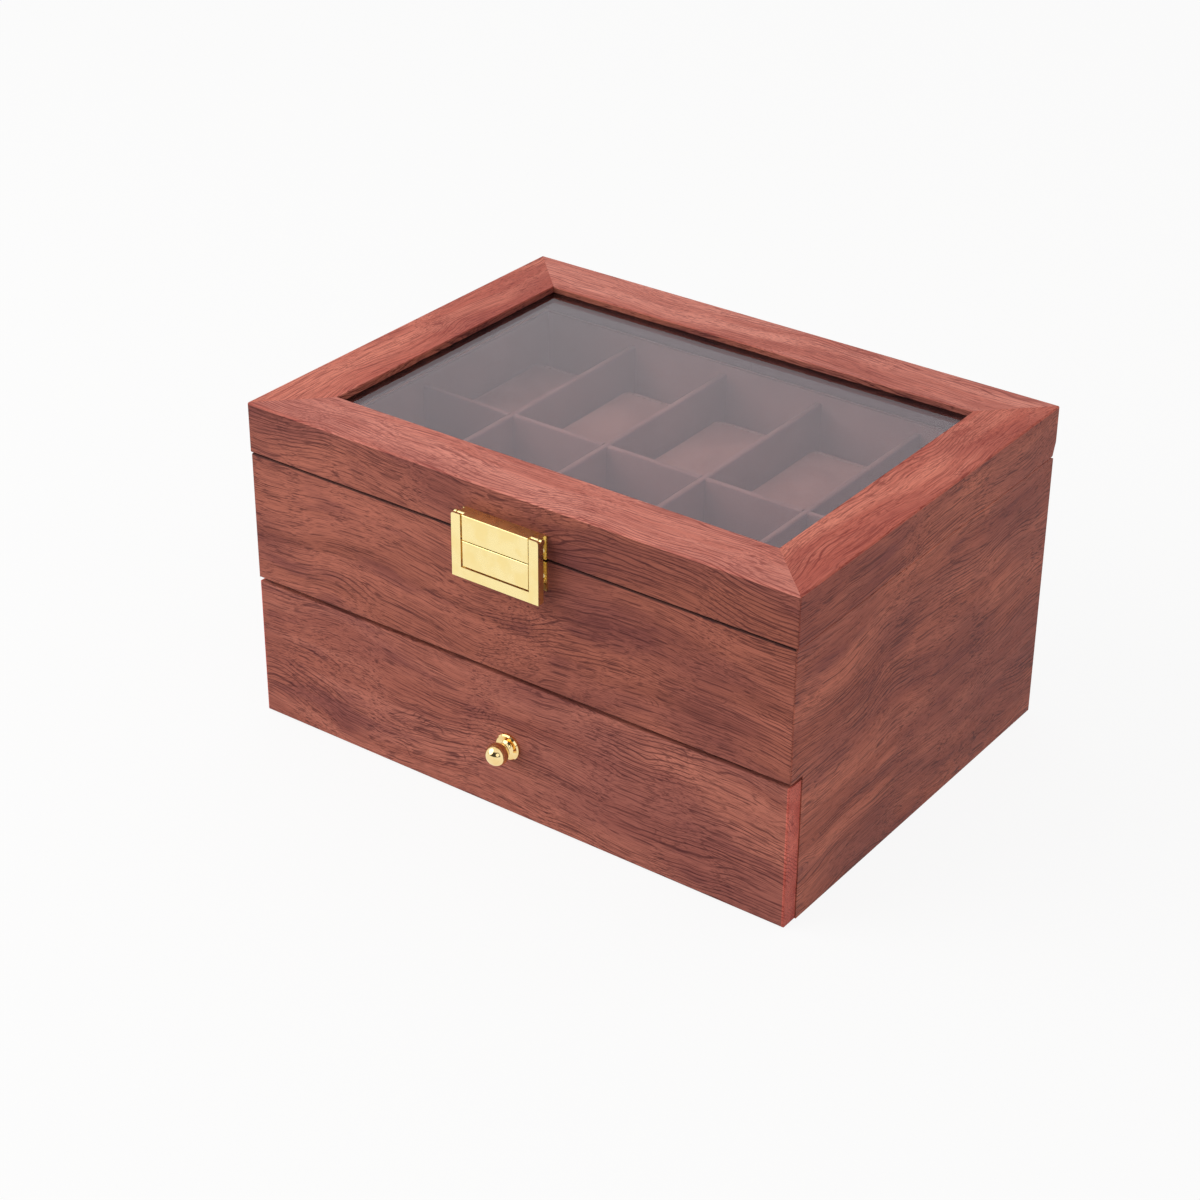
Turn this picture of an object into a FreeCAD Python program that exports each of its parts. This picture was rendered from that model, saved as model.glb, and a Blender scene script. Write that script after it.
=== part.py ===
import FreeCAD, Part
import os

# Watch box with a glazed lid, a tray of compartments and one drawer.
# Millimetres. +Z is up, the front faces -Y, and the origin is on the table
# under the middle of the case.

Vector = FreeCAD.Vector
cos_45 = 0.5 ** 0.5

# Overall size
width = 290.0
depth = 215.0
height = 160.0

# Boards
wall_board = 10.0
bottom_board = 4.4
deck_board = 4.0
drawer_front_board = 9.0
drawer_side_board = 6.0
drawer_bottom_board = 3.0
groove_depth = 3.0
eased_edge = 0.8

# Lid frame and pane
lid_height = 24.5
lid_overhang = 0.6
rail_width = 28.0
rail_flange = 9.3
rabbet_width = 8.0
pane_recess = 3.3
pane_thickness = 3.0
pane_play = 0.3

# Seam between lid and case, and the bevels at its back
lid_seam = 0.3
bevel_run = 3.0
lid_bevel_rise = 9.0
case_bevel_fall = 1.6

# Drawer bay and drawer
drawer_bay_top = 72.0
drawer_front_gap = 2.0
drawer_front_side_gap = 0.4
drawer_table_gap = 1.0
drawer_seat_gap = 0.3
drawer_run_gap = 0.3
drawer_side_gap = 0.8
drawer_back_gap = 1.5
drawer_side_drop = 6.0
drawer_bottom_lift = 2.0

# Flock, linings and dividers
base_flock = 0.6
base_flock_inset = 2.0
base_flock_corner = 4.0
wall_lining = 1.5
floor_lining = 1.2
tray_lining_drop = 0.6
tray_divider_drop = 5.0
drawer_lining_drop = 2.0
divider_board = 3.0
divider_round = 1.0
lap_play = 0.1
columns = 5
rows = 2

# Cushions
cushion_height = 38.0
cushion_side_gap = 1.0
cushion_end_gap = 9.9
cushion_seat_gap = 0.3
cushion_corner = 7.0
cushion_long_pull = 1.2
cushion_short_pull = 0.8
# Share of the cushion's height, and how far the outline is drawn in there
cushion_levels = [(0.0, 1.8), (0.5, 0.0), (0.88, 1.4), (1.0, 7.5)]

# Butt hinges
hinge_spread = 160.0
hinge_length = 28.0
leaf_thickness = 0.9
barrel_radius = 2.2
barrel_play = 0.3
hinge_pin_radius = 1.0
pin_play = 0.05
knuckles = 3
knuckle_gap = 0.15
leaf_end_margin = 0.7
hinge_screw_spacing = 16.0
screw_head_radius = 1.7
screw_radius = 0.9
screw_length = 7.0

# Flap latch
latch_width = 46.0
latch_above_seam = 12.1
latch_below_seam = 17.9
latch_proud = 8.0
latch_plate = 1.0
latch_plate_inset = 1.0
latch_panel_wall = 1.2
latch_panel_back_set = 0.2
latch_panel_seam = 0.4
latch_edge = 0.35
flap_sheet = 1.4
flap_leg = 5.5
flap_flange = 1.2
flap_flange_back = 4.4
flap_bar = 5.0
flap_play = 0.6
flap_corner = 1.2
keeper_foot = 2.0
latch_plate_margin = 0.4
latch_pin_radius = 0.8
latch_ear_radius = 1.5
latch_arm_rise = 1.1
latch_pin_proud = 4.9
brad_head_radius = 1.3
brad_head_height = 0.6
brad_radius = 0.6
brad_length = 6.0

# Turned knob
knob_rose_radius = 6.3
knob_rose_thickness = 1.8
knob_rose_edge = 0.6
knob_neck_radius = 2.4
knob_cove_waist = 0.35
knob_cove_foot = 1.4
knob_ball_radius = 5.2
knob_ball_proud = 8.3
knob_stud_radius = 1.5
knob_stud_length = 7.5

# Levels and half sizes that follow from the sizes above
half_depth = depth / 2
half_lid = width / 2
half_case = half_lid - lid_overhang
inner_x = half_case - wall_board
inner_y = half_depth - wall_board
lid_z = height - lid_height
rim_z = lid_z - lid_seam
seam_z = (lid_z + rim_z) / 2
bottom_top = base_flock + bottom_board
deck_top = drawer_bay_top + deck_board
side_front_y = -half_depth + drawer_front_board + drawer_seat_gap


def box(x0, x1, y0, y1, z0, z1):
    return Part.makeBox(x1 - x0, y1 - y0, z1 - z0, Vector(x0, y0, z0))


def plan_prism(points, z0, z1):
    corners = [Vector(x, y, z0) for x, y in points]
    face = Part.Face(Part.makePolygon(corners + corners[:1]))
    return face.extrude(Vector(0, 0, z1 - z0))


def side_prism(points, x0, x1):
    corners = [Vector(x0, y, z) for y, z in points]
    face = Part.Face(Part.makePolygon(corners + corners[:1]))
    return face.extrude(Vector(x1 - x0, 0, 0))


def rod_x(radius, x0, x1, y, z):
    return Part.makeCylinder(radius, x1 - x0, Vector(x0, y, z), Vector(1, 0, 0))


def edges_where(shape, test):
    found = []
    for edge in shape.Edges:
        bounds = edge.BoundBox
        if test(bounds):
            found.append(edge)
    return found


def near(a, b):
    return abs(a - b) < 1e-4


def upright(bounds):
    return near(bounds.XLength, 0) and near(bounds.YLength, 0)


def save(node, solids):
    if isinstance(solids, list):
        shape = Part.makeCompound(solids)
    else:
        shape = solids
    shape.exportStep("parts/" + node + ".step")
    print(node, len(shape.Solids), round(shape.Volume, 1), shape.isValid())


def mirror_x(shape):
    return shape.mirror(Vector(0, 0, 0), Vector(1, 0, 0))


# Whole outlines that the mitred boards are cut from

def lid_outline():
    form = box(-half_lid, half_lid, -half_depth, half_depth, lid_z, height)
    form = form.makeFillet(eased_edge, form.Edges)
    bevel = side_prism(
        [(half_depth - bevel_run, lid_z - 1),
         (half_depth - bevel_run, lid_z),
         (half_depth, lid_z + lid_bevel_rise),
         (half_depth + 1, lid_z + lid_bevel_rise),
         (half_depth + 1, lid_z - 1)],
        -half_lid - 1, half_lid + 1)
    return form.cut(bevel)


def case_outline():
    form = box(-half_case, half_case, -half_depth, half_depth, base_flock, rim_z)
    eased = edges_where(form, lambda b: upright(b) or b.ZMin > rim_z - 1)
    form = form.makeFillet(eased_edge, eased)
    bevel = side_prism(
        [(half_depth - bevel_run, rim_z + 1),
         (half_depth - bevel_run, rim_z),
         (half_depth, rim_z - case_bevel_fall),
         (half_depth + 1, rim_z - case_bevel_fall),
         (half_depth + 1, rim_z + 1)],
        -half_case - 1, half_case + 1)
    return form.cut(bevel)


# Hinges: the case leaf has the odd knuckles and the pin, the lid leaf the even ones

hinge_y = half_depth - barrel_radius - leaf_thickness / 4
leaf_edge_y = hinge_y - barrel_radius - barrel_play
leaf_front_y = inner_y + leaf_end_margin
leaf_screw_y = (leaf_edge_y + leaf_front_y) / 2
knuckle_length = (hinge_length - (knuckles - 1) * knuckle_gap) / knuckles
hinge_centres = [-hinge_spread / 2, hinge_spread / 2]


def screw(x, z, points_down):
    way = -1 if points_down else 1
    axis = Vector(0, 0, way)
    start = Vector(x, leaf_screw_y, z)
    head = Part.makeCone(screw_head_radius, screw_radius, leaf_thickness, start, axis)
    shank = Part.makeCylinder(screw_radius, screw_length, start, axis)
    return head.fuse(shank).removeSplitter()


def leaf_screws(centre, on_case):
    z = rim_z if on_case else lid_z
    offsets = [-hinge_screw_spacing / 2, hinge_screw_spacing / 2]
    return [screw(centre + dx, z, on_case) for dx in offsets]


def hinge_leaf(centre, on_case):
    x0 = centre - hinge_length / 2
    z0 = rim_z - leaf_thickness if on_case else lid_z
    leaf = box(x0, x0 + hinge_length, leaf_front_y, leaf_edge_y, z0, z0 + leaf_thickness)
    first = 0 if on_case else 1
    for k in range(first, knuckles, 2):
        k0 = x0 + k * (knuckle_length + knuckle_gap)
        k1 = k0 + knuckle_length
        strap = box(k0, k1, leaf_edge_y, hinge_y, z0, z0 + leaf_thickness)
        barrel = rod_x(barrel_radius, k0, k1, hinge_y, seam_z)
        leaf = leaf.fuse(strap).fuse(barrel)
    bore = hinge_pin_radius + (0.0 if on_case else pin_play)
    leaf = leaf.cut(rod_x(bore, x0 - 1, x0 + hinge_length + 1, hinge_y, seam_z))
    for fixing in leaf_screws(centre, on_case):
        leaf = leaf.cut(fixing)
    return leaf.removeSplitter()


def hinge_gain(centre):
    # The recess for barrel and leaves, cut in both the case and the lid
    reach = barrel_radius + barrel_play
    x0 = centre - hinge_length / 2
    x1 = centre + hinge_length / 2
    barrel_room = box(x0 - barrel_play, x1 + barrel_play,
                      leaf_edge_y, half_depth + 1, seam_z - reach, seam_z + reach)
    leaf_room = box(x0, x1, leaf_front_y, leaf_edge_y,
                    rim_z - leaf_thickness, lid_z + leaf_thickness)
    return barrel_room.fuse(leaf_room)


def cut_for_hinges(board, on_case):
    for centre in hinge_centres:
        board = board.cut(hinge_gain(centre))
        for fixing in leaf_screws(centre, on_case):
            board = board.cut(fixing)
    return board


# Case boards

def deck():
    reach_x = inner_x + groove_depth
    reach_y = inner_y + groove_depth
    return box(-reach_x, reach_x, -reach_y, reach_y, drawer_bay_top, deck_top)


def base():
    reach_x = inner_x + groove_depth
    reach_y = inner_y + groove_depth
    return box(-reach_x, reach_x, side_front_y, reach_y, base_flock, bottom_top)


def right_side(outline):
    upper = plan_prism(
        [(half_case, -half_depth), (half_case, half_depth),
         (inner_x, inner_y), (inner_x, -inner_y)],
        drawer_bay_top, rim_z)
    lower = plan_prism(
        [(half_case, side_front_y), (half_case, half_depth),
         (inner_x, inner_y), (inner_x, side_front_y)],
        base_flock, drawer_bay_top)
    side = upper.fuse(lower).removeSplitter().common(outline)
    return side.cut(deck()).cut(base())


def back(outline):
    board = plan_prism(
        [(-half_case, half_depth), (half_case, half_depth),
         (inner_x, inner_y), (-inner_x, inner_y)],
        base_flock, rim_z)
    board = board.common(outline).cut(deck()).cut(base())
    return cut_for_hinges(board, True)


def upper_front(outline):
    board = plan_prism(
        [(-half_case, -half_depth), (half_case, -half_depth),
         (inner_x, -inner_y), (-inner_x, -inner_y)],
        drawer_bay_top, rim_z)
    lower_edge = edges_where(
        board, lambda b: near(b.ZMax, drawer_bay_top) and near(b.YMax, -half_depth))
    board = board.makeFillet(eased_edge, lower_edge).common(outline)
    board = board.cut(deck())
    for fixing in keeper_brads():
        board = board.cut(fixing)
    return board


def flock_sheet():
    reach = half_case - base_flock_inset
    sheet = box(-reach, reach, side_front_y + base_flock_inset,
                half_depth - base_flock_inset, 0, base_flock)
    return sheet.makeFillet(base_flock_corner, edges_where(sheet, upright))


# Lid rails, pane and beads

opening_x = half_lid - rail_width
opening_y = half_depth - rail_width
pane_top = height - pane_recess
pane_bottom = pane_top - pane_thickness
flange_z = height - rail_flange


def frame_piece(sections, long_half, short_half):
    # Each section of a mitred frame's front rail is (inward0, inward1, z0, z1)
    piece = None
    for inward0, inward1, z0, z1 in sections:
        outer_x = long_half - inward0
        inner = long_half - inward1
        outer_y = short_half - inward0
        inner_short = short_half - inward1
        part = plan_prism(
            [(-outer_x, -outer_y), (outer_x, -outer_y),
             (inner, -inner_short), (-inner, -inner_short)], z0, z1)
        piece = part if piece is None else piece.fuse(part)
    return piece.removeSplitter()


def turn(shape, quarter_turns):
    turned = shape.copy()
    turned.rotate(Vector(0, 0, 0), Vector(0, 0, 1), 90 * quarter_turns)
    return turned


def mitred_frame(sections, long_half, short_half):
    front = frame_piece(sections, long_half, short_half)
    side = frame_piece(sections, short_half, long_half)
    return {"front": front, "right": turn(side, 1),
            "back": turn(front, 2), "left": turn(side, 3)}


def lid_rails(outline):
    sections = [
        (0, wall_board, lid_z, height),
        (wall_board, rail_width - rabbet_width, flange_z, height),
        (rail_width - rabbet_width, rail_width, pane_top, height)]
    rails = mitred_frame(sections, half_lid, half_depth)
    for name in rails:
        rails[name] = rails[name].common(outline)
    rails["back"] = cut_for_hinges(rails["back"], False)
    for fixing in lid_plate_brads():
        rails["front"] = rails["front"].cut(fixing)
    return rails


def glazing_beads():
    start = rail_width - rabbet_width
    sections = [(start, rail_width, flange_z, pane_bottom)]
    return list(mitred_frame(sections, half_lid, half_depth).values())


def pane():
    reach_x = opening_x + rabbet_width - pane_play
    reach_y = opening_y + rabbet_width - pane_play
    return box(-reach_x, reach_x, -reach_y, reach_y, pane_bottom, pane_top)


# Linings and dividers of one storey

def wall_lining_ring(x_half, y0, y1, z0, z1):
    outer = box(-x_half, x_half, y0, y1, z0, z1)
    inner = box(-x_half + wall_lining, x_half - wall_lining,
                y0 + wall_lining, y1 - wall_lining, z0, z1)
    return outer.cut(inner)


def rounded_top(board, top):
    long_edges = edges_where(
        board, lambda b: near(b.ZMin, top) and max(b.XLength, b.YLength) > 2 * divider_board)
    return board.makeFillet(divider_round, long_edges)


class Storey:
    # The lined space between the walls, and the cells that its dividers make

    def __init__(self, wall_x, wall_y0, wall_y1, floor_z, top_z):
        self.x_half = wall_x - wall_lining
        self.y0 = wall_y0 + wall_lining
        self.y1 = wall_y1 - wall_lining
        self.floor_z = floor_z
        self.top_z = top_z
        self.cell_x = (2 * self.x_half - (columns - 1) * divider_board) / columns
        self.cell_y = (self.y1 - self.y0 - (rows - 1) * divider_board) / rows
        self.middle_y = (self.y0 + self.y1) / 2

    def column_x(self, column):
        return -self.x_half + self.cell_x / 2 + column * (self.cell_x + divider_board)

    def row_y(self, row):
        return self.y0 + self.cell_y / 2 + row * (self.cell_y + divider_board)

    def divider_xs(self):
        shift = (self.cell_x + divider_board) / 2
        return [self.column_x(column) + shift for column in range(columns - 1)]

    def lap_z(self):
        return (self.floor_z + self.top_z) / 2

    def long_divider(self):
        half = divider_board / 2
        board = box(-self.x_half, self.x_half, self.middle_y - half, self.middle_y + half,
                    self.floor_z, self.top_z)
        board = rounded_top(board, self.top_z)
        for x in self.divider_xs():
            slot = half + lap_play
            board = board.cut(box(x - slot, x + slot, self.y0, self.y1,
                                  self.lap_z(), self.top_z + 1))
        return board

    def cross_dividers(self):
        half = divider_board / 2
        slot = half + lap_play
        boards = []
        for x in self.divider_xs():
            board = box(x - half, x + half, self.y0, self.y1, self.floor_z, self.top_z)
            board = rounded_top(board, self.top_z)
            board = board.cut(box(x - divider_board, x + divider_board,
                                  self.middle_y - slot, self.middle_y + slot,
                                  self.floor_z - 1, self.lap_z()))
            boards.append(board)
        return boards


# Cushion: a stuffed block with a crown, a drawn-in foot and sides that pull in
# between the corners

def cushion_outline(half_x, half_y, corner, z):
    inner_half_x = half_x - corner
    inner_half_y = half_y - corner
    slant = corner * (1 - cos_45)
    quarters = [(1, -1), (1, 1), (-1, 1), (-1, -1)]
    edges = []
    starts = []
    for index, (sx, sy) in enumerate(quarters):
        on_x = Vector(sx * half_x, sy * inner_half_y, z)
        on_y = Vector(sx * inner_half_x, sy * half_y, z)
        middle = Vector(sx * (half_x - slant), sy * (half_y - slant), z)
        first, last = (on_y, on_x) if index % 2 == 0 else (on_x, on_y)
        starts.append((first, middle, last))
    for index, (first, middle, last) in enumerate(starts):
        edges.append(Part.Arc(first, middle, last).toShape())
        following = starts[(index + 1) % 4][0]
        halfway = (last + following) * 0.5
        if index % 2 == 0:
            pulled = Vector(halfway.x - cushion_long_pull * (1 if halfway.x > 0 else -1),
                            halfway.y, z)
        else:
            pulled = Vector(halfway.x,
                            halfway.y - cushion_short_pull * (1 if halfway.y > 0 else -1), z)
        edges.append(Part.Arc(last, pulled, following).toShape())
    return Part.Wire(edges)


def cushion(x, y, floor_z, size_x, size_y):
    outlines = []
    for share, drawn_in in cushion_levels:
        corner = cushion_corner - drawn_in / 4
        outlines.append(cushion_outline(size_x / 2 - drawn_in, size_y / 2 - drawn_in,
                                        corner, share * cushion_height))
    form = Part.makeLoft(outlines, True, True)
    form.translate(Vector(x, y, floor_z + cushion_seat_gap))
    return form


# Drawer

drawer_x = inner_x - drawer_side_gap
drawer_inner_x = drawer_x - drawer_side_board
drawer_front_back_y = -half_depth + drawer_front_board
drawer_back_y = inner_y - drawer_back_gap
drawer_inner_y1 = drawer_back_y - drawer_side_board
drawer_low_z = bottom_top + drawer_run_gap
drawer_top_z = drawer_bay_top - drawer_side_drop
drawer_board_z = drawer_low_z + drawer_bottom_lift
drawer_board_top = drawer_board_z + drawer_bottom_board
half_groove = drawer_side_board / 2
knob_z = (drawer_table_gap + drawer_bay_top - drawer_front_gap) / 2


def drawer_bottom():
    return box(-drawer_inner_x - half_groove, drawer_inner_x + half_groove,
               drawer_front_back_y - half_groove, drawer_inner_y1 + half_groove,
               drawer_board_z, drawer_board_top)


def drawer_back():
    board = box(-drawer_inner_x - half_groove, drawer_inner_x + half_groove,
                drawer_inner_y1, drawer_back_y, drawer_low_z, drawer_top_z)
    return board.cut(drawer_bottom())


def drawer_side():
    board = box(drawer_inner_x, drawer_x, drawer_front_back_y - half_groove, drawer_back_y,
                drawer_low_z, drawer_top_z)
    return board.cut(drawer_bottom()).cut(drawer_back())


def drawer_front():
    reach = half_case - drawer_front_side_gap
    board = box(-reach, reach, -half_depth, drawer_front_back_y,
                drawer_table_gap, drawer_bay_top - drawer_front_gap)
    face_edges = edges_where(board, lambda b: near(b.YMax, -half_depth))
    board = board.makeFillet(eased_edge, face_edges)
    stud = Part.makeCylinder(knob_stud_radius, knob_stud_length,
                             Vector(0, -half_depth, knob_z), Vector(0, 1, 0))
    return board.cut(drawer_bottom()).cut(drawer_side()).cut(mirror_x(drawer_side())).cut(stud)


def knob():
    # The turned outline as (radius, distance in front of the drawer)
    def at(radius, proud):
        return Vector(radius, -half_depth - proud, knob_z)

    ball = knob_ball_radius
    ball_start = knob_ball_proud - (ball ** 2 - knob_neck_radius ** 2) ** 0.5
    edge = knob_rose_edge
    bevel_start = at(knob_rose_radius, knob_rose_thickness - edge)
    bevel_end = at(knob_rose_radius - edge, knob_rose_thickness)
    cove_end = at(knob_neck_radius, ball_start)
    cove_middle = at(knob_neck_radius + knob_cove_waist, (knob_rose_thickness + ball_start) / 2)
    cove_start = at(knob_neck_radius + knob_cove_foot, knob_rose_thickness)
    outline = [
        Part.makeLine(at(0, -knob_stud_length), at(knob_stud_radius, -knob_stud_length)),
        Part.makeLine(at(knob_stud_radius, -knob_stud_length), at(knob_stud_radius, 0)),
        Part.makeLine(at(knob_stud_radius, 0), at(knob_rose_radius, 0)),
        Part.makeLine(at(knob_rose_radius, 0), bevel_start),
        Part.makeLine(bevel_start, bevel_end),
        Part.makeLine(bevel_end, cove_start),
        Part.Arc(cove_start, cove_middle, cove_end).toShape(),
        Part.makeLine(cove_end, at(0, ball_start)),
        Part.makeLine(at(0, ball_start), at(0, -knob_stud_length))]
    face = Part.Face(Part.Wire(outline))
    turned = face.revolve(Vector(0, 0, knob_z), Vector(0, 1, 0), 360)
    return turned.fuse(Part.makeSphere(ball, at(0, knob_ball_proud), Vector(0, 1, 0)))


# Flap latch

latch_top = seam_z + latch_above_seam
latch_low = seam_z - latch_below_seam
latch_half = latch_width / 2
panel_half = latch_half - flap_leg
panel_front_y = -half_depth - latch_proud + latch_panel_back_set
plate_front_y = -half_depth - latch_plate
flap_front_y = -half_depth - latch_proud
flap_back_y = flap_front_y + flap_sheet
flange_back_y = -half_depth - flap_flange_back
latch_pin_y = -half_depth - latch_pin_proud
latch_pin_z = latch_top - latch_ear_radius
flange_inner = latch_half - flap_flange
plate_half = latch_half - latch_plate_inset
keeper_panel_low = latch_low + flap_bar + flap_play
keeper_low = keeper_panel_low - keeper_foot
brad_x = (panel_half + flange_inner) / 2


def brad(x, z, head):
    back_y = -half_depth + brad_length
    shank = Part.makeCylinder(brad_radius, back_y - plate_front_y,
                              Vector(x, plate_front_y, z), Vector(0, 1, 0))
    if not head:
        return shank
    # The head is the cap of a ball that is cut by the plate's front
    ball = (brad_head_radius ** 2 + brad_head_height ** 2) / (2 * brad_head_height)
    middle = Vector(x, plate_front_y + ball - brad_head_height, z)
    cap = Part.makeSphere(ball, middle, Vector(0, 1, 0))
    front = box(x - ball, x + ball, plate_front_y - brad_head_height - 1, plate_front_y,
                z - ball, z + ball)
    return shank.fuse(cap.common(front)).removeSplitter()


def brad_pair(z, head):
    return [brad(-brad_x, z, head), brad(brad_x, z, head)]


def lid_plate_brads(head=False):
    return brad_pair((lid_z + latch_pin_z - latch_ear_radius) / 2, head)


def keeper_brads(head=False):
    return brad_pair((keeper_low + rim_z) / 2, head)


def raised_panel(z0, z1):
    # A pressed box with an open back, softened at its front edges
    block = box(-panel_half, panel_half, panel_front_y, plate_front_y, z0, z1)
    front_edges = edges_where(block, lambda b: near(b.YMax, panel_front_y))
    block = block.makeFillet(latch_edge, front_edges)
    wall = latch_panel_wall
    hollow = box(-panel_half + wall, panel_half - wall, panel_front_y + wall,
                 -half_depth, z0 + wall, z1 - wall)
    return block, hollow


def latch_lid_plate():
    foot = box(-plate_half, plate_half, plate_front_y, -half_depth,
               lid_z + latch_plate_margin, latch_top - latch_plate_margin)
    block, hollow = raised_panel(seam_z + latch_panel_seam / 2, latch_top)
    plate = foot.fuse(block).cut(hollow)
    for side in (-1, 1):
        x0, x1 = sorted((side * panel_half, side * (flange_inner - flap_play)))
        knuckle = rod_x(latch_ear_radius, x0, x1, latch_pin_y, latch_pin_z)
        arm = box(x0, x1, latch_pin_y, -half_depth,
                  latch_pin_z - latch_ear_radius, latch_pin_z + latch_arm_rise)
        plate = plate.fuse(knuckle).fuse(arm)
    plate = plate.cut(rod_x(latch_pin_radius, -latch_half, latch_half, latch_pin_y, latch_pin_z))
    for fixing in lid_plate_brads():
        plate = plate.cut(fixing)
    return plate.removeSplitter()


def latch_keeper():
    foot = box(-plate_half, plate_half, plate_front_y, -half_depth,
               keeper_low, rim_z - latch_plate_margin)
    block, hollow = raised_panel(keeper_panel_low, seam_z - latch_panel_seam / 2)
    plate = foot.fuse(block).cut(hollow)
    for fixing in keeper_brads():
        plate = plate.cut(fixing)
    return plate.removeSplitter()


def latch_flap():
    face = box(-latch_half, latch_half, flap_front_y, flap_back_y, latch_low, latch_top)
    top_corners = edges_where(
        face, lambda b: near(b.XLength, 0) and near(b.ZLength, 0) and near(b.ZMin, latch_top))
    face = face.makeFillet(flap_corner, top_corners)
    window = panel_half + flap_play
    flap = face.cut(box(-window, window, flap_front_y - 1, flap_back_y + 1,
                        latch_low + flap_bar, latch_top + 1))
    for side in (-1, 1):
        x0, x1 = sorted((side * flange_inner, side * latch_half))
        flange = box(x0, x1, flap_back_y, flange_back_y, latch_low, latch_pin_z)
        eye = rod_x(latch_ear_radius, x0, x1, latch_pin_y, latch_pin_z)
        cheek = box(x0, x1, flap_back_y, latch_pin_y, latch_pin_z,
                    latch_pin_z + latch_ear_radius - flap_corner)
        flap = flap.fuse(flange).fuse(eye).fuse(cheek)
    lip = box(-latch_half, latch_half, flap_back_y, flange_back_y,
              latch_low, latch_low + flap_flange)
    flap = flap.fuse(lip)
    flap = flap.cut(rod_x(latch_pin_radius + pin_play, -latch_half - 1, latch_half + 1,
                          latch_pin_y, latch_pin_z))
    return flap.removeSplitter()


# Build every piece

os.makedirs("parts", exist_ok=True)

case_form = case_outline()
lid_form = lid_outline()

right = right_side(case_form)
save("right_side_panel", right)
save("left_side_panel", mirror_x(right))
save("back_panel", back(case_form))
save("upper_front_panel", upper_front(case_form))
save("bottom_board", base())
save("tray_deck", deck())
save("base_flock", flock_sheet())

lid_parts = lid_rails(lid_form)
for place, rail in lid_parts.items():
    save("lid_" + place + "_rail", rail)
save("lid_glass", pane())
save("glazing_beads", glazing_beads())

for side_name, centre in zip(("left", "right"), hinge_centres):
    save("hinge_" + side_name + "_case_leaf", hinge_leaf(centre, True))
    save("hinge_" + side_name + "_lid_leaf", hinge_leaf(centre, False))
save("hinge_pins", [rod_x(hinge_pin_radius, c - hinge_length / 2, c + hinge_length / 2,
                          hinge_y, seam_z) for c in hinge_centres])
save("hinge_case_screws", [s for c in hinge_centres for s in leaf_screws(c, True)])
save("hinge_lid_screws", [s for c in hinge_centres for s in leaf_screws(c, False)])

save("latch_lid_plate", latch_lid_plate())
save("latch_keeper", latch_keeper())
save("latch_flap", latch_flap())
save("latch_pin", rod_x(latch_pin_radius, -latch_half, latch_half, latch_pin_y, latch_pin_z))
save("latch_lid_brads", lid_plate_brads(True))
save("latch_keeper_brads", keeper_brads(True))

save("drawer_front", drawer_front())
save("drawer_right_side", drawer_side())
save("drawer_left_side", mirror_x(drawer_side()))
save("drawer_back", drawer_back())
save("drawer_bottom", drawer_bottom())
save("drawer_knob", knob())

tray = Storey(inner_x, -inner_y, inner_y, deck_top + floor_lining, rim_z - tray_divider_drop)
drawer = Storey(drawer_inner_x, drawer_front_back_y, drawer_inner_y1,
                drawer_board_top + floor_lining, drawer_top_z - drawer_lining_drop)
cushion_x = drawer.cell_x - 2 * cushion_side_gap
cushion_y = drawer.cell_y - 2 * cushion_end_gap

save("tray_floor_lining", box(-inner_x, inner_x, -inner_y, inner_y, deck_top, tray.floor_z))
save("tray_wall_lining", wall_lining_ring(inner_x, -inner_y, inner_y, tray.floor_z,
                                         rim_z - tray_lining_drop))
save("drawer_floor_lining", box(-drawer_inner_x, drawer_inner_x, drawer_front_back_y,
                                drawer_inner_y1, drawer_board_top, drawer.floor_z))
save("drawer_wall_lining", wall_lining_ring(drawer_inner_x, drawer_front_back_y,
                                            drawer_inner_y1, drawer.floor_z, drawer.top_z))

for name, storey in (("tray", tray), ("drawer", drawer)):
    save(name + "_long_divider", storey.long_divider())
    save(name + "_cross_dividers", storey.cross_dividers())
    number = 0
    for row in range(rows):
        for column in range(columns):
            number += 1
            save(name + "_cushion_" + str(number),
                 cushion(storey.column_x(column), storey.row_y(row), storey.floor_z,
                         cushion_x, cushion_y))
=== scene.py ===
import math

import bmesh
import bpy
from mathutils import Matrix, Vector


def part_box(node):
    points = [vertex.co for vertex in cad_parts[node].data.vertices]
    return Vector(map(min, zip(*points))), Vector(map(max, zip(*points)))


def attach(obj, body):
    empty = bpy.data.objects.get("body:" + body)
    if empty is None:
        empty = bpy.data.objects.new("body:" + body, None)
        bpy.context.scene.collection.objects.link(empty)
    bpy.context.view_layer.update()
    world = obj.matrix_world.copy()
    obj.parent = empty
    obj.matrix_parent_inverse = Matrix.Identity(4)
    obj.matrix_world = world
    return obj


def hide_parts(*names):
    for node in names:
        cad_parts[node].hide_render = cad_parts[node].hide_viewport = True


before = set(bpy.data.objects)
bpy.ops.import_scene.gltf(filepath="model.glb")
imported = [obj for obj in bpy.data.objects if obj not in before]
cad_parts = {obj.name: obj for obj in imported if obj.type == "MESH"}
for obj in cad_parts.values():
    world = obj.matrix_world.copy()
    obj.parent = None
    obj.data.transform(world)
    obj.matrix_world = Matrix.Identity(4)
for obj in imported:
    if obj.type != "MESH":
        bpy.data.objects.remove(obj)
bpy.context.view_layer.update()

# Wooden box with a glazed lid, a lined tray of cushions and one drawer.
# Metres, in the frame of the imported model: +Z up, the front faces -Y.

scene = bpy.context.scene
mm = 0.001

# Photograph: its size, the lens that it was taken with, and where the camera stood
picture_px = 1200
lens_px = 2624.6
optical_centre_px = (652.5, 562.0)
sensor_width_mm = 36.0
camera_turn = math.radians(34.84)
camera_rise = math.radians(28.82)
camera_roll = math.radians(0.98)
camera_distance = 1203 * mm
camera_aim = Vector((0, 0, 80 * mm))

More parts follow.
